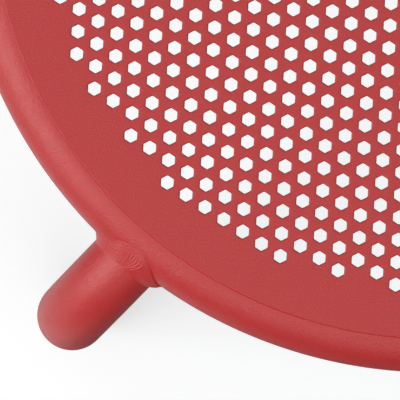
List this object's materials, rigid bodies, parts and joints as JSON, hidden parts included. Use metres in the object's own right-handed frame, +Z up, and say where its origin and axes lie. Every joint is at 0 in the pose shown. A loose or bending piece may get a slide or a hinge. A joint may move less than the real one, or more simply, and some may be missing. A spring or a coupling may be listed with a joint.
{
  "type": "stool",
  "caption": "Round outdoor stool or side table: flat perforated metal seat with hexagonal holes on a welded tube rim, with bent tube legs and plastic feet.",
  "frame": {"origin": "on the floor, under the centre of the seat", "axes": "+Z up; the legs stand on the diagonals, with -Y to the front and -X to the left"},
  "size_m": [0.4, 0.4, 0.45],
  "materials": {
    "red_coat": "fine-texture matt red powder coat on steel",
    "foot_plastic": "moulded black polyethylene with a fine matt grain"
  },
  "bodies": {
    "root": {"seat_sheet": "red_coat", "rim_tube": "red_coat", "stitch_welds": "red_coat", "leg_front_left": "red_coat", "leg_front_right": "red_coat", "leg_rear_right": "red_coat", "leg_rear_left": "red_coat", "weld_front_left": "red_coat", "weld_front_right": "red_coat", "weld_rear_right": "red_coat", "weld_rear_left": "red_coat", "foot_front_left": "foot_plastic", "foot_front_right": "foot_plastic", "foot_rear_right": "foot_plastic", "foot_rear_left": "foot_plastic"}
  },
  "joints": []
}
